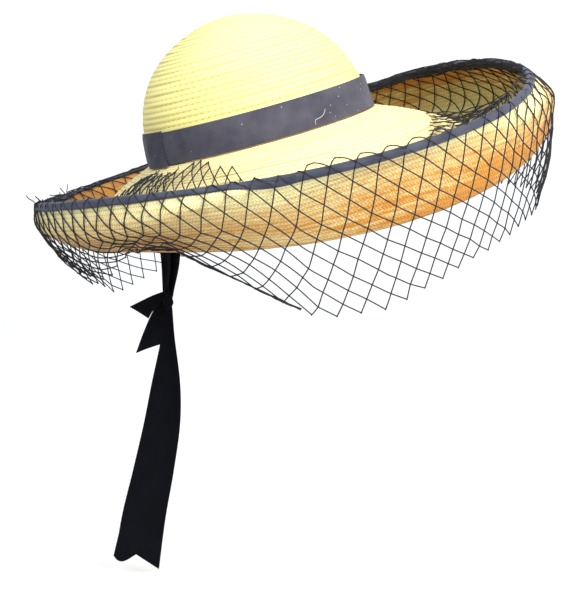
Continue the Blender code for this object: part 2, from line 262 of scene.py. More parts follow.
def mixColour(tree, factor, first, second, kind="MIX"):
    node = addNode(tree, "Mix")
    node.data_type = "RGBA"
    node.blend_type = kind
    for socket, value in zip((node.inputs[0], node.inputs[6], node.inputs[7]),
                             (factor, first, second)):
        if isinstance(value, (int, float)):
            socket.default_value = value
        elif isinstance(value, tuple):
            socket.default_value = (*value, 1)
        else:
            tree.links.new(value, socket)
    return node.outputs[2]


def noise(tree, vector, scale, detail=3.0):
    node = addNode(tree, "TexNoise")
    return fillIn(tree, node, Scale=scale, Detail=detail, Vector=vector)["Fac"]


def newGroup(name, inputs, outputs):
    tree = bpy.data.node_groups.new(name, "ShaderNodeTree")
    for label, kind, value in inputs:
        socket = tree.interface.new_socket(label, in_out="INPUT", socket_type="NodeSocket" + kind)
        if value is not None:
            socket.default_value = value
    for label, kind in outputs:
        tree.interface.new_socket(label, in_out="OUTPUT", socket_type="NodeSocket" + kind)
    return tree, tree.nodes.new("NodeGroupInput").outputs, tree.nodes.new("NodeGroupOutput").inputs


def useGroup(tree, group, **values):
    node = addNode(tree, "Group")
    node.node_tree = group
    return fillIn(tree, node, **values)


# tones along the brim by the braid's row: where painted shade and painted highlight fall, with the top
# side's rows counted from topSide
tones = {"topSide": 100, "topFrom": 60.0, "rowScale": 0.826, "sway": 7.0, "shadeFrom": 11.0,
         "shadeTo": 35.5, "highlightFrom": 31.5, "innerShadeFrom": 28.5, "backFrom": 0.05}


def strawBraid():
    # one plaited straw braid in each row of the UVs: V-shaped straws, a stitch line, tone that differs
    # at random, painted shade in the grooves, and on the brim painted shade and painted highlight by
    # row
    tree, given, result = newGroup(
        "plaitedStraw",
        [("Braid", "Vector", None), ("Light straw", "Color", (1, 1, 1, 1)),
         ("Dark straw", "Color", (1, 1, 1, 1)), ("Stitch", "Float", 0.5),
         ("Variation", "Float", 0.5), ("Tan", "Float", 0.0)],
        [("Color", "Color"), ("Height", "Float"), ("Roughness", "Float")])
    link = tree.links.new
    times, plus, minus, use = sums(tree)
    u, v = splitUp(tree, given["Braid"])[:2]
    row = use("FLOOR", v)
    across = use("FRACT", v)
    arm = use("ABSOLUTE", minus(across, 0.5))
    chevron = plus(u, times(arm, 1.7))
    inStraw = use("FRACT", chevron)
    straw = use("SINE", times(inStraw, pi))
    edge = use("SINE", times(across, pi))
    rounding = use("POWER", edge, 0.35)
    height = times(use("POWER", straw, 0.9), rounding)
    number = addNode(tree, "CombineXYZ")
    link(use("FLOOR", chevron), number.inputs[0])
    link(row, number.inputs[1])
    link(use("GREATER_THAN", across, 0.5), number.inputs[2])
    each = addNode(tree, "TexWhiteNoise")
    each.noise_dimensions = "3D"
    link(number.outputs[0], each.inputs["Vector"])
    stretch = addNode(tree, "VectorMath")
    stretch.operation = "MULTIPLY"
    stretch.inputs[1].default_value = (0.035, 0.45, 1)
    link(given["Braid"], stretch.inputs[0])
    patch = noise(tree, stretch.outputs[0], 1.0, 4.0)
    patch = times(minus(patch, 0.42), 3.0, True)
    tone = times(each.outputs["Value"], 0.6)
    tone = times(plus(tone, patch), given["Variation"])
    groove = minus(1.0, height, True)
    # painted shade: the grooves between straws are darkened
    tone = plus(tone, times(groove, 0.3), True)
    top = use("GREATER_THAN", v, tones["topFrom"])
    reach = minus(v, times(top, tones["topSide"]))
    reach = times(reach, tones["rowScale"])
    sway = times(minus(patch, 0.4), tones["sway"])
    reach = plus(reach, sway)
    # painted shade: a band of the roll's lower rows is darkened towards dark straw, more at the front
    # and in noise patches
    under = times(minus(tones["shadeTo"], reach), 0.12, True)
    above = times(minus(reach, tones["shadeFrom"]), 0.12, True)
    under = times(under, above)
    back = splitUp(tree, objectPlace(tree))[1]
    front = times(minus(tones["backFrom"], back), 9.0, True)
    front = plus(times(front, 0.75), 0.5)
    front = times(front, plus(times(patch, 0.9), 0.55))
    under = times(under, front)
    # painted highlight: the rows near the edge are made paler
    pale = times(minus(reach, tones["highlightFrom"]), 0.17, True)
    shift = minus(under, pale)
    # painted shade on the top side: the rows near the edge, under the curl, are darkened
    inner = times(minus(reach, tones["innerShadeFrom"]), 0.15, True)
    blend = addNode(tree, "Mix")
    link(top, blend.inputs[0])
    link(shift, blend.inputs[2])
    link(inner, blend.inputs[3])
    # this strength input scales the painted shade and painted highlight along the brim's rows
    shift = times(blend.outputs[0], given["Tan"])
    tone = plus(tone, shift, True)
    colour = mixColour(tree, tone, given["Light straw"], given["Dark straw"])
    # painted highlight: the top side away from its edge is lightened towards pale straw
    topHighlight = times(minus(top, inner, True), 0.75)
    colour = mixColour(tree, topHighlight, colour, (0.96, 0.87, 0.42), "LIGHTEN")
    # painted shadow: at the back, the top side's rows near the edge are darkened to dark brown
    behind = times(minus(back, tones["backFrom"]), 14.0, True)
    behind = times(times(behind, inner), times(top, 0.8))
    colour = mixColour(tree, behind, colour, (0.20, 0.085, 0.03))
    # painted shade: the deepest parts of the grooves between straws are darkened towards dark brown
    gapShade = times(minus(groove, 0.42), 2.0, True)
    gapShade = times(gapShade, given["Variation"])
    colour = mixColour(tree, gapShade, colour, (0.26, 0.11, 0.02))
    # painted shadow: a thin dark orange line on the top side's first row, at the collar where the band
    # meets the brim
    seamShadow = use("LESS_THAN", use("ABSOLUTE", minus(v, tones["topSide"])), 0.45)
    seamShadow = times(seamShadow, given["Tan"])
    colour = mixColour(tree, seamShadow, colour, (0.50, 0.17, 0.03))
    hole = minus(use("FRACT", times(u, 0.5)), 0.5)
    hole = times(use("ABSOLUTE", hole), 2.0)
    low = use("ABSOLUTE", minus(across, 0.86))
    dot = plus(times(hole, 1.6), times(low, 9.0))
    dot = use("LESS_THAN", dot, 0.75)
    dot = times(dot, given["Stitch"])
    link(mixColour(tree, dot, colour, (0.16, 0.08, 0.015)), result["Color"])
    link(minus(height, dot), result["Height"])
    rough = plus(times(groove, 0.3), 0.42)
    link(rough, result["Roughness"])
    return tree


def pile():
    # short velvet pile: soft patches of nap, a fine grain and a few pale specks of lint
    tree, given, result = newGroup(
        "velvetPile",
        [("Deep", "Color", (1, 1, 1, 1)), ("Brushed", "Color", (1, 1, 1, 1)),
         ("Lint", "Float", 0.0), ("Grain", "Float", 2600.0)],
        [("Color", "Color"), ("Height", "Float")])
    link = tree.links.new
    times, plus, minus, use = sums(tree)
    where = objectPlace(tree)
    nap = noise(tree, where, 55.0, 4.0)
    nap = times(minus(nap, 0.36), 2.6, True)
    grain = fillIn(tree, addNode(tree, "TexNoise"), Vector=where, Scale=given["Grain"])
    fine = grain["Fac"]
    mixed = plus(times(nap, 0.55), times(fine, 0.45))
    colour = mixColour(tree, mixed, given["Deep"], given["Brushed"])
    cells = fillIn(tree, addNode(tree, "TexVoronoi"), Vector=where, Scale=620.0)
    near = use("LESS_THAN", cells["Distance"], 0.2)
    tint = addNode(tree, "SeparateColor")
    link(cells["Color"], tint.inputs[0])
    rare = use("GREATER_THAN", tint.outputs[0], 0.975)
    speck = times(times(near, rare), given["Lint"])
    link(mixColour(tree, speck, colour, (0.62, 0.62, 0.66)), result["Color"])
    link(plus(fine, times(nap, 0.4)), result["Height"])
    return tree


plaitedStraw = strawBraid()
velvetPile = pile()


def addBump(tree, surface, height, strength, depth):
    bump = fillIn(tree, addNode(tree, "Bump"), Strength=strength, Distance=depth, Height=height)
    tree.links.new(bump[0], surface.inputs["Normal"])


def strawMaterial(name, light, dark, stitch, variation, shading, depth):
    shader, tree, surface = newMaterial(name)
    braid = addNode(tree, "UVMap")
    braid.uv_map = "braid"
    out = useGroup(tree, plaitedStraw, **{"Braid": braid.outputs[0], "Light straw": light,
                                          "Dark straw": dark, "Stitch": stitch,
                                          "Variation": variation, "Tan": shading})
    addBump(tree, surface, out["Height"], 0.8, depth)
    fillIn(tree, surface, **{"Base Color": out["Color"], "Roughness": out["Roughness"],
                             "Specular IOR Level": 0.35, "Sheen Weight": 0.1})
    return shader


def velvetMaterial(name, deep, brushed, lint, sheen, tint, depth):
    shader, tree, surface = newMaterial(name)
    out = useGroup(tree, velvetPile, Deep=deep, Brushed=brushed, Lint=lint)
    addBump(tree, surface, out["Height"], 0.7, depth)
    fillIn(tree, surface, **{"Base Color": out["Color"], "Roughness": 0.95,
                             "Specular IOR Level": 0.12, "Sheen Weight": sheen,
                             "Sheen Roughness": 0.4, "Sheen Tint": tint})
    return shader


def netMaterial(name, deep, worn):
    shader, tree, surface = newMaterial(name)
    fuzz = noise(tree, objectPlace(tree), 900.0, 2.0)
    addBump(tree, surface, fuzz, 0.6, 0.0002)
    fillIn(tree, surface, **{"Base Color": mixColour(tree, fuzz, deep, worn), "Roughness": 0.75,
                             "Specular IOR Level": 0.25})
    return shader


crownStraw = strawMaterial("crownStraw", (0.92, 0.87, 0.34), (0.82, 0.67, 0.20), 0.5, 0.24, 0.0,
                           0.0003)
# the brim's straw gets painted shade and highlight along its rows; the crown's gets none
brimStraw = strawMaterial("brimStraw", (0.98, 0.90, 0.45), (0.60, 0.25, 0.02), 0.15, 0.46, 0.82,
                         0.0006)
bandVelvet = velvetMaterial("bandVelvet", (0.039, 0.039, 0.058), (0.098, 0.098, 0.128), 1.0, 0.22,
                            (0.55, 0.57, 0.75), 0.0004)
edgeVelvet = velvetMaterial("edgeVelvet", (0.028, 0.032, 0.046), (0.085, 0.09, 0.125), 0.2, 0.32,
                            (0.55, 0.6, 0.75), 0.0004)
blackVelvet = velvetMaterial("blackVelvet", (0.0006, 0.0008, 0.002), (0.0025, 0.003, 0.006), 0.0,
                             0.03, (0.2, 0.22, 0.3), 0.0003)
netYarn = netMaterial("netYarn", (0.006, 0.006, 0.009), (0.035, 0.034, 0.045))
lintYarn = netMaterial("lintYarn", (0.42, 0.42, 0.44), (0.7, 0.7, 0.7))
print("materials made")


def turnedOver(faces, uvs):
    corners = [corner for k in range(0, len(uvs), 4) for corner in uvs[k:k + 4][::-1]]
    return [face[::-1] for face in faces], corners


def braidFaces(stations, columns, rowOf, plaits, offset=0):
    # quads and UVs of rings that wrap round the hat, with the UV rows following the braid
    faces = []
    uvs = []
    for station in range(stations - 1):
        low, high = rowOf[station], rowOf[station + 1]
        count = plaits[min(int((low + high) / 2), len(plaits) - 1)]
        for column in range(columns):
            after = (column + 1) % columns
            a = offset + station * columns
            b = a + columns
            faces.append((a + column, a + after, b + after, b + column))
            left, right = count * column / columns, count * (column + 1) / columns
            uvs += [(left, low), (right, low), (right, high), (left, high)]
    return faces, uvs


brimLook = {"rows": 46, "columns": 288, "lap": 0.0004, "plaitPitch": 0.0027}
crownLook = {"rows": 34, "columns": 240, "lap": 0.00028, "plaitPitch": 0.0027}
insideRow = (0.03, 0.5, 0.97)


def makeBrim():
    rows, columns = brimLook["rows"], brimLook["columns"]
    rowOf = [row + part for row in range(rows) for part in insideRow]
    lap = np.array([part * brimLook["lap"] for row in range(rows) for part in insideRow])
    wander = rng.normal(0, 1, (rows, 5))
    angles = np.arange(columns) * tau / columns
    under = np.zeros((len(rowOf), columns, 3))
    upper = np.zeros_like(under)
    for column, angle in enumerate(angles):
        line = brimLine(angle)
        ways = underWays(line)
        along = wayAlong(line)
        waves = np.array([1, sin(2 * angle), cos(3 * angle), sin(5 * angle), cos(7 * angle)])
        drift = np.repeat(wander @ waves * 0.00016, len(insideRow))
        drift[[0, 1, -1, -2]] = 0
        stops = np.array(rowOf) / rows * along[-1] + drift
        middle = pick(line, stops)
        way = between(stops, along, ways)
        half = hat["wall"] / 2
        low = middle + way * (half + lap)[:, None]
        high = middle - way * (half + lap)[:, None]
        under[:, column] = place(angle, low[:, 0], low[:, 1])
        upper[:, column] = place(angle, high[:, 0], high[:, 1])
    ringLengths = np.linalg.norm(np.diff(under, axis=1), axis=2).sum(1)
    plaits = [int(ringLengths[row * 3 + 1] / brimLook["plaitPitch"]) for row in range(rows)]
    count = len(rowOf)
    faces, uvs = braidFaces(count, columns, rowOf, plaits)
    moreFaces, moreUvs = braidFaces(count, columns, rowOf, plaits, offset=count * columns)
    moreUvs = [(u, v + tones["topSide"]) for u, v in moreUvs]
    faces, uvs = turnedOver(faces, uvs)
    faces += moreFaces
    uvs += moreUvs
    for ring in (0, count - 1):
        for column in range(columns):
            after = (column + 1) % columns
            a, b = ring * columns, (count + ring) * columns
            face = (a + column, a + after, b + after, b + column)
            faces.append(face if ring == 0 else face[::-1])
            uvs += [(column * 0.5, ring / 3.0)] * 4
    piece = addMesh("strawBrim", np.concatenate([under, upper]), faces, brimStraw, uvs)
    finishPiece(piece, "straw_brim", "brim")


def makeCrown():
    rows, columns = crownLook["rows"], crownLook["columns"]
    angles = np.arange(columns) * tau / columns
    heights = hat["crownHeight"] * np.sin(np.linspace(0, pi / 2, 400))
    size = crownSize(heights / hat["crownHeight"])
    profile = np.column_stack([size * hat["length"] / 2, heights])
    along = wayAlong(profile)
    start = np.interp(hat["collar"] + 0.0003, heights, along)
    rowOf = [row + part for row in range(rows) for part in insideRow]
    stops = start + np.array(rowOf) / rows * (along[-1] - start) * 0.992
    ringHeights = np.interp(stops, along, heights)
    outer = []
    for station, height in enumerate(ringHeights):
        part = insideRow[station % 3]
        wave = 0.00012 * np.sin(3 * angles + station * 0.9) + 0.0001 * np.cos(5 * angles - station)
        outer.append(crownPlace(angles, height, crownLook["lap"] * (1 - part) + wave))
    inner = [crownPlace(angles, height * 0.98, -hat["wall"]) for height in ringHeights[::3]]
    outer, inner = np.array(outer), np.array(inner)
    ringLengths = np.linalg.norm(np.diff(outer, axis=1), axis=2).sum(1)
    plaits = [max(6, int(ringLengths[row * 3 + 1] / crownLook["plaitPitch"])) for row in range(rows)]
    faces, uvs = braidFaces(len(outer), columns, rowOf, plaits)
    faces, uvs = turnedOver(faces, uvs)
    base = len(outer) * columns
    moreFaces, moreUvs = braidFaces(len(inner), columns, rowOf[::3], plaits, offset=base)
    faces += moreFaces
    uvs += moreUvs
    for column in range(columns):
        after = (column + 1) % columns
        faces.append((column, after, base + after, base + column))
        uvs += [(column * 0.5, 0.0)] * 4
    points = np.concatenate([outer.reshape(-1, 3), inner.reshape(-1, 3)])
    tops = [(len(outer) - 1) * columns, base + (len(inner) - 1) * columns]
    peaks = [outer[-1].mean(0) + sitArray @ (0, 0, 0.0003), inner[-1].mean(0)]
    points = np.concatenate([points, np.array(peaks)])
    for which, top in enumerate(tops):
        peak = len(points) - 2 + which
        for column in range(columns):
            after = (column + 1) % columns
            face = (top + column, top + after, peak)
            faces.append(face[::-1] if which else face)
            uvs += [(column * 0.3, rows - 0.1), (column * 0.3 + 0.3, rows - 0.1), (0, rows)]
    piece = addMesh("strawCrown", points, faces, crownStraw, uvs)
    piece.data.flip_normals()
    finishPiece(piece, "straw_crown", "crown")


makeBrim()
makeCrown()
print("straw braid made")


def loopMesh(name, rings, shader, wrap=True):
    # joins closed loops of points, as a ring or with both ends capped
    rings = np.asarray(rings)
    count, size = rings.shape[:2]
    faces = []
    for ring in range(count if wrap else count - 1):
        after = (ring + 1) % count
        for side in range(size):
            turn = (side + 1) % size
            low, high = ring * size, after * size
            faces.append((low + side, low + turn, high + turn, high + side))
    if not wrap:
        last = (count - 1) * size
        for side in range(size // 2 - 1):
            strip = (side, side + 1, size - 2 - side, size - 1 - side)
            faces.append(strip[::-1])
            faces.append(tuple(last + corner for corner in strip))
    piece = addMesh(name, rings, faces, shader)
    body = piece.data
    volume = sum(face.normal.dot(face.center) * face.area for face in body.polygons)
    centre = sum((vert.co for vert in body.vertices), Vector()) / len(body.vertices)
    volume -= sum(face.normal.dot(centre) * face.area for face in body.polygons)
    if volume < 0:
        body.flip_normals()
    body.set_sharp_from_angle(angle=radians(60))
    return piece


def threads(lines, radius, sides):
    # points and faces of round threads, one for each line; all lines have as many points
    lines = np.asarray(lines, float)
    count, length = lines.shape[:2]
    way = np.gradient(lines, axis=1)
    way /= np.linalg.norm(way, axis=2, keepdims=True) + 1e-12
    aside = np.cross(way, np.array([0.31, 0.17, 0.93]))
    aside /= np.linalg.norm(aside, axis=2, keepdims=True) + 1e-12
    up = np.cross(way, aside)
    turns = np.arange(sides) * tau / sides
    rings = lines[:, :, None] + radius * (np.cos(turns)[:, None] * aside[:, :, None]
                                          + np.sin(turns)[:, None] * up[:, :, None])
    index = np.arange(count * length * sides).reshape(count, length, sides)
    a, b = index[:, :-1], index[:, 1:]
    faces = np.stack([a, np.roll(a, -1, 2), np.roll(b, -1, 2), b], -1).reshape(-1, 4)
    return rings.reshape(-1, 3), faces


band = {"base": 0.0012, "height": 0.0265, "thick": 0.0012, "columns": 240, "standOff": 0.0028,
        "wave": 0.00035, "seat": 0.0005}
tab = {"width": 0.027, "thick": 0.0021, "over": 0.0014, "waist": 0.16, "columns": 26, "rows": 22}
binding = {"leg": 0.0039, "thick": 0.0010, "columns": 320, "wave": 0.0002}


def makeBand():
    # a flat velvet ribbon that stands off the crown a little at its top front edge
    rings = []
    low, high, thick = band["base"], band["height"], band["thick"]
    for column in range(band["columns"]):
        angle = column * tau / band["columns"]
        front = max(0.0, -cos(angle - 0.35)) ** 10
        loop = []
        for share in np.linspace(0, 1, 7):
            height = low + (high - low) * share
            wave = band["wave"] * (sin(5 * angle + 2 * share) + sin(11 * angle + 5 * share) * 0.5)
            off = band["standOff"] * front * share ** 2 + wave * share * 0.6
            puff = thick * (1 - 0.45 * (share in (0, 1)))
            loop.append(crownPlace(angle, height, band["seat"] + abs(off) + puff))
        for share in np.linspace(1, 0, 7):
            off = band["standOff"] * front * share ** 2
            loop.append(crownPlace(angle, low + (high - low) * share, band["seat"] + off))
        rings.append(loop)
    piece = loopMesh("velvetBand", rings, bandVelvet)
    finishPiece(piece, "band_velvet", "hat_band")


def makeTab():
    # the waisted tab over the band's join, with its right edge sewn down
    rings = []
    low, high = band["base"] - 0.0006, band["height"] + tab["over"]
    base = band["seat"] + band["thick"] + 0.0003
    for share in np.linspace(0, 1, tab["rows"]):
        waist = 1 - tab["waist"] * sin(pi * share) ** 0.8
        half = tab["width"] / hat["width"] * waist
        corner = 0.0012 * abs(2 * share - 1) ** 4
        face, back = [], []
        for across in np.linspace(-1, 1, tab["columns"]):
            edge = abs(across) ** 8
            pinch = -0.0005 * max(0, -across) ** 6
            puff = tab["thick"] * (1 - 0.5 * edge) + corner * abs(across) ** 2 + pinch
            puff += 0.00018 * sin(9 * share + 4 * across)
            height = low + (high - low) * share
            face.append(crownPlace(half * across, height, base + puff))
            back.append(crownPlace(half * across, height, base))
        rings.append(face + back[::-1])
    piece = loopMesh("bandTab", rings, bandVelvet, wrap=False)
    finishPiece(piece, "band_velvet", "band_tab")
    stitches = []
    for stitch in range(11):
        share = (stitch + 0.6) / 11.5
        half = tab["width"] / hat["width"] * (1 - tab["waist"] * sin(pi * share) ** 0.8)
        line = []
        for step in np.linspace(0, 1, 6):
            height = low + (high - low) * (share + 0.035 * step)
            out = base + tab["thick"] * (0.9 - 0.9 * step ** 2) + 0.0003
            line.append(crownPlace(-half * (0.93 + 0.12 * step), height, out))
        stitches.append(line)
    thread = addMesh("tabStitches", *threads(stitches, 0.00028, 6), netYarn)
    finishPiece(thread, "band_velvet")


def makeLint():
    # one pale stray thread that lies on the band's right side
    line = []
    for share in np.linspace(0, 1, 24):
        angle = radians(-87 - 6.5 * share + 1.2 * sin(5 * share))
        height = 0.0035 + 0.0085 * share + 0.001 * sin(7 * share)
        line.append(crownPlace(angle, height, band["seat"] + band["thick"] + 0.0006))
    thread = addMesh("lintThread", *threads([line], 0.0002, 5), lintYarn)
    finishPiece(thread, "band_velvet")


def edgeFrame(angle):
    # the brim's edge at an angle: its point, the way outward and the underside's way
    line = brimLine(angle)
    along = wayAlong(line)
    foot = pick(line, [along[-1] - binding["leg"]])[0]
    way = (line[-1] - foot) / np.linalg.norm(line[-1] - foot)
    return line, along, line[-1], way, np.array([way[1], -way[0]])


def makeBinding():
    # velvet ribbon folded over the edge: two legs and a round fold
    rings = []
    half = hat["wall"] / 2
    inner, outer = half + 0.0006, half + 0.0006 + binding["thick"]
    legStops = np.linspace(1, 0, 5)
    for column in range(binding["columns"]):
        angle = column * tau / binding["columns"]
        line, along, edge, way, under = edgeFrame(angle)
        ways = underWays(line)
        wave = binding["wave"] * (sin(23 * angle) + sin(41 * angle + 1) * 0.7)
        stops = along[-1] - (binding["leg"] + wave) * legStops
        leg = pick(line, stops)
        legWays = between(stops, along, ways)
        puff = 1 + 0.25 * np.sin(pi * legStops)[:, None]
        face = [point for point in leg + legWays * outer * puff]
        fold = [edge + under * outer * cos(turn) + way * outer * sin(turn)
                for turn in np.linspace(0.45, pi - 0.45, 5)]
        back = [point for point in (leg - legWays * outer * puff)[::-1]]
        lining = [point for point in leg - legWays * inner]
        seat = [edge + way * 0.0008 - under * inner, edge + way * 0.0008 + under * inner]
        rest = [point for point in (leg + legWays * inner)[::-1]]
        loop = np.array(face + fold + back + lining + seat + rest)
        rings.append(place(angle, loop[:, 0], loop[:, 1]))
    piece = loopMesh("edgeBinding", rings, edgeVelvet)
    finishPiece(piece, "binding_velvet", "edge_binding")


makeBand()
makeTab()
makeLint()
makeBinding()
print("velvet trims made")

# the net's hem by degrees from the back, as out (a share of reach) and down (of fall)
net = {"columns": 80, "outRows": 10, "inRows": 12, "step": 0.0128, "fall": 0.125,
       "yarn": 0.0005, "knot": 0.0009, "sides": 5, "pieces": 5, "jitter": 0.0009,
       "overBinding": 0.0029, "overStraw": 0.0019, "belly": 0.003, "loop": 0.0070, "drift": 0.25}
netHem = table(
    "degrees out down",
    (0, 0.46, 0.53), (15, 0.49, 0.60), (30, 0.56, 0.53), (45, 0.59, 0.66),
    (60, 0.67, 0.87), (75, 0.72, 0.86), (90, 0.72, 0.82), (120, 0.76, 0.82),
    (150, 0.79, 0.83), (180, 0.79, 0.80), (210, 0.79, 0.83), (240, 0.76, 0.86),
    (270, 0.72, 0.94), (285, 0.72, 1.00), (300, 0.67, 0.95), (315, 0.59, 0.66),
    (330, 0.55, 0.40), (345, 0.48, 0.37), (360, 0.46, 0.53))
# how far in over the brim's top the net reaches, as a share of the way from the edge to
# the crown, and how much of the trough it bridges; at reach 0 only loops top the edge
netInside = table(
    "degrees reach bridge",
    (0, 0.92, 0.6), (14, 0.60, 0.4), (50, 0.50, 0.1), (110, 0.62, 0.0),
    (150, 0.76, 0.0), (208, 0.78, 0.0), (216, 0.50, 0.0), (232, 0.0, 0.0),
    (295, 0.0, 0.4), (301, 0.45, 0.6), (308, 0.78, 0.6), (316, 0.88, 0.6),
    (326, 0.96, 0.6), (345, 0.97, 0.6), (360, 0.92, 0.6))


def fromTable(rows, column, degrees):
    return float(np.interp(degrees, [row["degrees"] for row in rows], [row[column] for row in rows]))


def netLine(angle):
    # the net's section at an angle from the crown over the edge to the hem, the distance
    # along it of the crest over the edge, and the way that loops stand up there
    degrees = angle * 180 / pi % 360
    line, along, edge, way, under = edgeFrame(angle)
    ways = underWays(line)
    near = np.clip((along - along[-1] + binding["leg"] + 0.006) / 0.006, 0, 1)
    rise = net["overStraw"] + (net["overBinding"] - net["overStraw"]) * near
    hem = np.array([fromTable(netHem, "out", degrees) * hat["reach"],
                    -fromTable(netHem, "down", degrees) * net["fall"]])
    over = (line + ways * rise[:, None])[:59:-1]
    taut = [over[0]]
    for point in [point for point in over[1:] if point[0] > hem[0] + 0.003] + [hem]:
        while len(taut) > 1:
            first, second = taut[-1] - taut[-2], point - taut[-1]
            if first[0] * second[1] - first[1] * second[0] < 0:
                break
            taut.pop()
        taut.append(point)
    last = taut[-2]
    fall = hem - last
    outward = np.array([-fall[1], fall[0]]) / np.linalg.norm(fall)
    hang = [last + fall * share + outward * net["belly"] * sin(pi * share)
            for share in np.linspace(0.1, 1, 10)]
    fold = [edge + under * net["overBinding"] * cos(turn) + way * net["overBinding"] * sin(turn)
            for turn in np.linspace(pi, 0, 9)]
    inside = (line - ways * rise[:, None])[along < along[-1] - 0.001]
    reach = np.linspace(0, 1, len(inside))[:, None]
    chord = inside[0] + (inside[-1] - inside[0]) * reach
    lift = fromTable(netInside, "bridge", degrees) * (1 - 0.5 * reach)
    inside = inside * (1 - lift) + chord * lift
    whole = np.vstack([inside, np.array(fold), np.reshape(taut[1:-1], (-1, 2)), hang])
    crest = wayAlong(whole)[len(inside) + 4]
    return whole, wayAlong(whole), crest, way * 0.86 - under * 0.5


lineCount = 720
netLines = [netLine(index * tau / lineCount) for index in range(lineCount)]
netReach = [fromTable(netInside, "reach", index * 360 / lineCount) for index in range(lineCount)]


def rowDistance(row, hemWay):
    # how far below the crest a row of knots lies; short hems crowd their last rows
    first = 3
    step = max(hemWay / net["outRows"], min(net["step"], hemWay / 5))
    if row <= first:
        return row * step
    return first * step + (row - first) * (hemWay - first * step) / (net["outRows"] - first)


def netPoint(column, row):
    # a point of the net by its column and row, both of which may lie between two knots
    angle = column / net["columns"] * tau
    side = (angle + pi) % tau - pi
    if row < -1 and abs(side) < 1.3:
        depth = min(1.0, (-row - 1) / (net["inRows"] - 1))
        angle -= (side + 0.12) * 0.2 * depth * (1 - abs(side) / 1.3) ** 0.6
    if row < 0:
        bare = 1 - min(1.0, netReach[int(angle % tau / tau * lineCount) % lineCount] / 0.3)
        angle -= 0.3 * max(row, -1) * bare * tau / net["columns"]
    else:
        angle += net["drift"] * sin(angle) * (1 - 0.3 * cos(angle)) * row / net["outRows"]
    angle %= tau
    index = angle / tau * lineCount
    low, share = int(index) % lineCount, index % 1
    points = []
    for which in (low, (low + 1) % lineCount):
        whole, along, crest, up = netLines[which]
        if row >= 0:
            distance = crest + rowDistance(row, along[-1] - crest)
            spot = pick(whole, [distance])[0]
        else:
            cover = min(1.0, netReach[which] / 0.3)
            covering = pick(whole, [max(crest + row * net["step"], 0.0)])[0]
            loop = pick(whole, [crest])[0] + up * sin(min(1.0, -row) * pi / 2) * net["loop"]
            spot = covering * cover + loop * (1 - cover)
        points.append(place(which * tau / lineCount, spot[0], spot[1]))
    return points[0] * (1 - share) + points[1] * share


def columnAt(degrees):
    return degrees / 360 * net["columns"]


def insideReach(column, row):
    # whether the net reaches this far in over the brim's top
    which = int(column / net["columns"] * lineCount) % lineCount
    return row >= -1 or -row * net["step"] <= netLines[which][2] * netReach[which]


def beads(spots, radius):
    # a small eight-sided bead at each crossing
    spots = np.asarray(spots)
    corners = np.array([(1, 0, 0), (-1, 0, 0), (0, 1, 0), (0, -1, 0), (0, 0, 1), (0, 0, -1)])
    points = spots[:, None] + corners * radius
    upper = np.array([(0, 2, 4), (2, 1, 4), (1, 3, 4), (3, 0, 4)])
    lower = np.array([(2, 0, 5), (1, 2, 5), (3, 1, 5), (0, 3, 5)])
    faces = (np.arange(len(spots)) * 6)[:, None, None] + np.concatenate([upper, lower])
    return points.reshape(-1, 3), faces.reshape(-1, 3)


def makeNet():
    strands, crossings, present = [], [], {}
    shake = rng.normal(0, 0.25, (net["columns"] * 2 + 2, net["inRows"] + net["outRows"] + 2, 2))
    for row in range(-net["inRows"], net["outRows"] + 1):
        for column in range(net["columns"]):
            where = column + (row % 2) / 2
            if row < 0 and not insideReach(where, row):
                continue
            present[(row, column)] = True
            crossings.append((where, row))
    for (row, column) in present:
        if row == net["outRows"]:
            continue
        for step in (0, 1):
            start = column + (row % 2) / 2
            end = start + (0.5 if step else -0.5)
            other = int(round(end - ((row + 1) % 2) / 2)) % net["columns"]
            if (row + 1, other) not in present:
                continue
            line = []
            for share in np.linspace(0, 1, net["pieces"]):
                line.append(netPoint(start + (end - start) * share, row + share))
            line = np.array(line)
            first = shake[column, row + net["inRows"]] * net["jitter"] * 2
            last = shake[other, row + 1 + net["inRows"]] * net["jitter"] * 2
            blend = np.linspace(0, 1, net["pieces"])[:, None]
            line[:, [0, 2]] += first * (1 - blend) + last * blend
            strands.append(line)
    points, faces = threads(strands, net["yarn"], net["sides"])
    spots = []
    for where, row in crossings:
        column = int(where)
        spot = netPoint(where, row)
        spot[[0, 2]] += shake[column, row + net["inRows"]] * net["jitter"] * 2
        spots.append(spot)
    knotPoints, knotFaces = beads(spots, net["knot"])
    loose, looseFaces = makeLoose()
    allPoints = np.vstack([points, knotPoints, loose])
    allFaces = faces.tolist() + (knotFaces + len(points)).tolist()
    allFaces += (looseFaces + len(points) + len(knotPoints)).tolist()
    piece = addMesh("veilNet", allPoints, allFaces, netYarn)
    finishPiece(piece, "net", "veil_net")
    print("net strands", len(strands), "faces", len(allFaces))


# cut ends that stand off the net: degrees, row, and the way left and up in metres
strayEnds = ((32, 0.4, 0.008, 0.008), (58, -0.3, 0.013, 0.001), (60, -0.3, -0.001, 0.009),
             (104, -0.3, 0.003, 0.010))


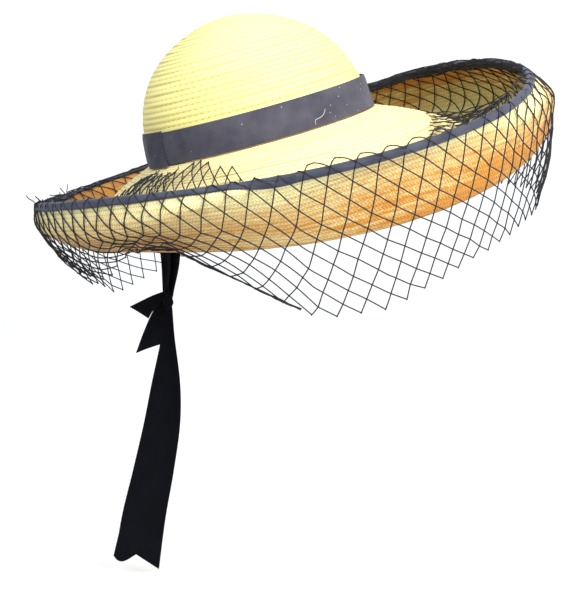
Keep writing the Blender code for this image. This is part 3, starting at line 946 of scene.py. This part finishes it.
def makeLoose():
    # gathered threads along the net's inner ends and folded hem, and a few cut ends
    lines = []
    length = 36

    def wander(degreesAt, row, size):
        # a line that follows the net from point to point and trembles a little
        line = []
        phase = random.uniform(0, 6)
        for share in np.linspace(0, 1, length):
            here = netPoint(columnAt(degreesAt(share)), row(share))
            tremble = sin(share * 23 + phase) + 0.6 * sin(share * 51 + phase * 3)
            here = here + np.array([tremble, cos(share * 31 + phase), tremble * 0.8]) * size
            line.append(here)
        lines.append(line)

    def innerRow(degrees):
        which = int(degrees / 360 * lineCount) % lineCount
        return -netLines[which][2] * netReach[which] / net["step"]

    for thread in range(3):
        aside = thread * 0.05
        wander(lambda t: 128 + 80 * t, lambda t: innerRow(128 + 80 * t) + aside, 0.0003)
    for thread in range(7):
        aside = random.uniform(-0.12, 0.12)
        wander(lambda t: 341 - 29 * t, lambda t: net["outRows"] - 0.1 + aside * (1 - t), 0.0006)
    for thread in range(15):
        share = thread / 14
        degrees = 209 + 33 * share
        flare = brimLine(radians(degrees))[int(33 + 5 * share) + thread % 2]
        start = place(radians(degrees), flare[0], flare[1] + 0.0022)
        end = netPoint(columnAt(250 + 9 * share), -0.55 + 0.04 * (thread % 5))
        phase = random.uniform(0, 6)
        line = []
        for step in np.linspace(0, 1, length):
            here = start * (1 - step) + end * step
            here[2] -= 0.006 * sin(pi * step) + 0.0007 * sin(step * 19 + phase)
            line.append(here)
        lines.append(line)
    for thread in range(10):
        degrees = 338 + thread * 2.6
        lean = random.uniform(-9, 9)
        deep = random.uniform(-8.6, -7.6)
        wander(lambda t: degrees + lean * t, lambda t: deep + t * 3, 0.0006)
    for thread in range(13):
        high = -0.62 + thread * 0.075
        beat = random.uniform(24, 46)
        wander(lambda t: 14 + 92 * t, lambda t: high + 0.22 * sin(beat * t + thread), 0.0007)
        wander(lambda t: 100 + 122 * t, lambda t: high + 0.17 * sin(beat * t + thread), 0.0005)
    for thread in range(9):
        high = -0.72 + thread * 0.09
        wander(lambda t: 168 + 56 * t, lambda t: high + 0.14 * sin(29 * t + thread), 0.0006)
    turn = radians(view["azimuth"])
    for degrees, row, left, rise in strayEnds:
        start = netPoint(columnAt(degrees), row)
        way = np.array([left * sin(turn), left * cos(turn), rise])
        lines.append([start + way * share + (0, 0, 0.0007 * sin(6 * share))
                      for share in np.linspace(0, 1, length)])
    for thread in range(8):
        degrees = random.uniform(12, 62)
        start = netPoint(columnAt(degrees), -0.2)
        aside, back = random.uniform(-0.3, 0.6), random.uniform(-0.2, 1.0)
        way = np.array([aside, back, random.uniform(0.0, 1.0)])
        way *= random.uniform(0.003, 0.009) / np.linalg.norm(way)
        lines.append([start + way * share for share in np.linspace(0, 1, length)])
    return threads(lines, net["yarn"] * 0.85, 4)


makeNet()
print("net made")

# the ribbon tie, with its rows as shares of the ribbon's width and each tail's length
tie = {"width": 0.036, "thick": 0.0010, "strapAngle": 9, "strapLap": 0.014, "strapDrop": 0.094,
       "knotWidth": 0.012, "knotDepth": 0.009, "knotHeight": 0.018, "longTail": 0.205,
       "shortTail": 0.044, "notch": 0.012, "corner": 0.011, "tuck": 0.007, "facing": 57}
strapRows = table(
    "down width bow",
    (0.0, 0.70, 0.0), (0.3, 0.62, -0.02), (0.7, 0.47, -0.045), (1.0, 0.24, -0.01))
longRows = table(
    "down back width cup",
    (0.0, 0.0, 0.20, 0.0), (0.10, 0.0, 0.28, 0.25), (0.28, 0.01, 0.62, 0.20),
    (0.44, 0.03, 0.80, 0.15), (0.62, 0.07, 0.90, 0.10), (0.80, 0.115, 0.97, 0.06),
    (1.0, 0.15, 1.0, 0.0))
upperRows = table(
    "down back width cup roll",
    (-0.10, -0.22, 0.16, 0.0, 0.0), (0.01, 0.02, 0.20, 0.10, 0.8),
    (0.13, 0.22, 0.31, 0.15, 0.9), (0.25, 0.41, 0.48, 0.10, 0.55))
lowerRows = table(
    "down back width cup roll",
    (-0.12, -0.20, 0.20, 0.0, 0.0), (0.18, -0.03, 0.30, 0.12, 0.0),
    (0.48, 0.08, 0.44, 0.15, -0.2), (0.80, 0.19, 0.57, 0.10, -0.35))


def ribbonMesh(name, rows, notch=0.0, corner=0.0, slots=15):
    # a ribbon through rows of (middle, across, cup), fine across and along
    stations = np.array([np.concatenate([middle, across, cup]) for middle, across, cup in rows])
    fine = smoothLine(stations, 10)
    rings = []
    count = len(fine)
    for index, row in enumerate(fine):
        middle, across, cup = row[:3], row[3:6], row[6:]
        endShare = max(0.0, (index / (count - 1) - 0.9) / 0.1)
        face = []
        for side in np.linspace(-1, 1, slots):
            ripple = 0.03 * sin(3 * side + index * 0.35)
            point = middle + across * side + cup * (side * side + ripple)
            if endShare:
                rise = notch * (1 - abs(side)) + corner * max(0.0, side) ** 4
                point = point + np.array([0, 0, rise]) * endShare
            face.append(point)
        rings.append(face)
    rings = np.array(rings)
    along = np.gradient(rings, axis=0)
    over = np.gradient(rings, axis=1)
    normal = np.cross(over, along)
    normal /= np.linalg.norm(normal, axis=2, keepdims=True) + 1e-12
    half = tie["thick"] / 2
    edge = np.ones(slots)
    edge[[0, -1]] = 0.55
    front = rings + normal * (half * edge)[None, :, None]
    back = rings - normal * (half * edge)[None, :, None]
    return loopMesh(name, np.concatenate([front, back[:, ::-1]], axis=1), blackVelvet, wrap=False)


def tailRows(shares, length, root):
    across = np.array([cos(radians(tie["facing"])), sin(radians(tie["facing"])), 0])
    facing = np.array([-across[1], across[0], 0])
    rows = []
    for row in shares:
        width = row["width"] * tie["width"]
        roll = row.get("roll", 0)
        middle = root + np.array([0, row["back"], -row["down"]]) * length
        slope = across * cos(roll) + np.array([0, 0, sin(roll)])
        rows.append((middle, slope * width / 2, facing * row["cup"] * width))
    return rows


def makeStrap(name, hand, node):
    rows = []
    angle = hand * radians(tie["strapAngle"])
    out = -hat["wall"] - 0.0006 - tie["thick"] / 2
    half = strapRows[0]["width"] * tie["width"] / 2
    turn = half / (hat["width"] / 2)
    for height in (tie["strapLap"], tie["strapLap"] / 2, 0.0):
        middle = crownPlace(angle, height, out)
        left, right = crownPlace(angle - turn, height, out), crownPlace(angle + turn, height, out)
        rows.append((middle, (right - left) / 2, (left + right) / 2 - middle))
    top = rows[-1][0]
    foot = knotSpot + (hand * tie["knotWidth"] / 6, hand * tie["thick"], tie["knotHeight"] * 0.2)
    for row in strapRows[1:]:
        middle = top * (1 - row["down"]) + foot * row["down"]
        middle = middle + (0, row["bow"] * tie["strapDrop"], 0)
        middle[1] += hand * 2.5 * tie["thick"] * row["down"] * (1 - row["down"])
        across = np.array([row["width"] * tie["width"] / 2, 0, 0])
        rows.append((middle, across, np.array([0, 0.10 * row["width"] * tie["width"], 0])))
    piece = ribbonMesh(name, rows)
    finishPiece(piece, "ribbon", node)


opening = sit @ Vector((0, hat["length"] / 2, 0))
knotSpot = np.array([0, opening.y - tie["knotDepth"] * 0.4,
                     opening.z - tie["strapDrop"] - tie["knotHeight"] / 2])


def makeKnot():
    # the knot: a wrapped band of ribbon with folds that run round it
    rings = []
    for level in np.linspace(-1, 1, 34):
        size = max(0.05, (1 - abs(level) ** 2.6)) ** 0.5
        ring = []
        for turn in np.arange(40) * tau / 40:
            fold = 1 + 0.07 * sin(4.5 * (level * 2 + 0.5 * sin(turn))) + 0.05 * sin(3 * turn + 2)
            waist = 0.86 - 0.08 * cos(level * pi) ** 2
            wide = size * fold * waist
            ring.append(knotSpot + (cos(turn) * tie["knotWidth"] / 2 * wide,
                                    sin(turn) * tie["knotDepth"] / 2 * wide,
                                    level * tie["knotHeight"] / 2))
        rings.append(ring)
    piece = loopMesh("ribbonKnot", rings, blackVelvet, wrap=False)
    finishPiece(piece, "ribbon", "ribbon_knot")


def makeTail(name, rows, node, flat, **cut):
    piece = ribbonMesh(name, rows, **cut)
    finishPiece(piece, "ribbon", node)


def makeTails():
    reach = upperRows[0]["width"] * tie["width"] / 2 * sin(radians(tie["facing"]))
    behind = tie["knotDepth"] / 2 + 0.0003 + reach
    root = knotSpot + (0, 0, -tie["knotHeight"] / 2 - 0.0003)
    rows = tailRows(longRows, tie["longTail"], root)
    rows = [(root + (0, 0, tie["tuck"]), rows[0][1] * 0.8, rows[0][2])] + rows
    makeTail("tailLong", rows, "ribbon_tail_long", (0.028, 0.207),
             notch=tie["notch"], corner=tie["corner"])
    root = knotSpot + (0, behind, tie["knotHeight"] * 0.1)
    rows = tailRows(upperRows, tie["shortTail"], root)
    makeTail("tailUpper", rows, "ribbon_tail_upper", (0.0125, 0.027))
    root = knotSpot + (tie["knotWidth"] / 3, behind, -tie["knotHeight"] * 0.2)
    rows = tailRows(lowerRows, tie["shortTail"], root)
    makeTail("tailLower", rows, "ribbon_tail_lower", (0.0155, 0.033))


makeStrap("strapLeft", 1, "ribbon_strap_left")
makeStrap("strapRight", -1, "ribbon_strap_right")
makeKnot()
makeTails()
print("ribbons made")

studio = {"floorBelow": 0.006, "skyStrength": 0.92,
          "keyPower": 12, "fillPower": 13, "sidePower": 10, "lowPower": 9}


def makeStage():
    # a pale floor that curves up into a pale wall behind the hat
    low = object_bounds()[0][2] - studio["floorBelow"]
    turn = radians(view["azimuth"])
    away = Vector((cos(turn), -sin(turn), 0))
    aside = Vector((sin(turn), cos(turn), 0))
    profile = [(-3.0, 0.0), (1.4, 0.0)]
    profile += [(1.4 + sin(t) * 0.8, 0.8 - cos(t) * 0.8) for t in np.linspace(0.1, pi / 2, 12)]
    profile += [(2.2, 4.0)]
    points, faces = [], []
    for out, rise in profile:
        for side in (-6, 6):
            spot = away * out + aside * side
            points.append((spot.x, spot.y, low + rise))
    for index in range(len(profile) - 1):
        a = index * 2
        faces.append((a, a + 1, a + 3, a + 2))
    shader, tree, surface = newMaterial("paleFloor")
    tone = noise(tree, objectPlace(tree), 2.0, 2.0)
    pale = mixColour(tree, tone, (0.56, 0.59, 0.62), (0.62, 0.60, 0.58))
    seen = addNode(tree, "LightPath").outputs["Is Camera Ray"]
    fillIn(tree, surface, **{"Base Color": pale, "Roughness": 0.8, "Emission Strength": seen,
                             "Emission Color": (0.40, 0.42, 0.42)})
    stage = addMesh("floor", points, faces, shader)


def addLight(name, spot, aim, power, size, colour):
    data = bpy.data.lights.new(name, "AREA")
    data.energy = power
    data.size = size
    data.color = colour
    light = bpy.data.objects.new(name, data)
    light.location = spot
    light.rotation_euler = (Vector(aim) - Vector(spot)).to_track_quat("-Z", "Y").to_euler()
    scene.collection.objects.link(light)


def makeLights():
    world = bpy.data.worlds.new("studio")
    world.use_nodes = True
    world.node_tree.nodes["Background"].inputs[0].default_value = (0.93, 0.96, 1.0, 1)
    world.node_tree.nodes["Background"].inputs[1].default_value = studio["skyStrength"]
    scene.world = world
    addLight("key", (-0.7, -0.45, 1.5), (0, 0, 0), studio["keyPower"], 0.9, (1.0, 0.97, 0.92))
    addLight("side", (-1.3, -0.45, 0.75), (-0.1, 0, -0.02), studio["sidePower"], 0.5, (1.0, 0.97, 0.9))
    addLight("low", (-1.1, 0.05, 0.32), (0.1, -0.2, 0), studio["lowPower"], 0.4, (1.0, 0.96, 0.88))
    addLight("fill", (-0.6, 0.9, 1.2), (0, 0, -0.05), studio["fillPower"], 1.2, (0.95, 0.97, 1.0))


makeStage()
makeLights()
scene.view_settings.view_transform = "Standard"
print("stage and lights made")
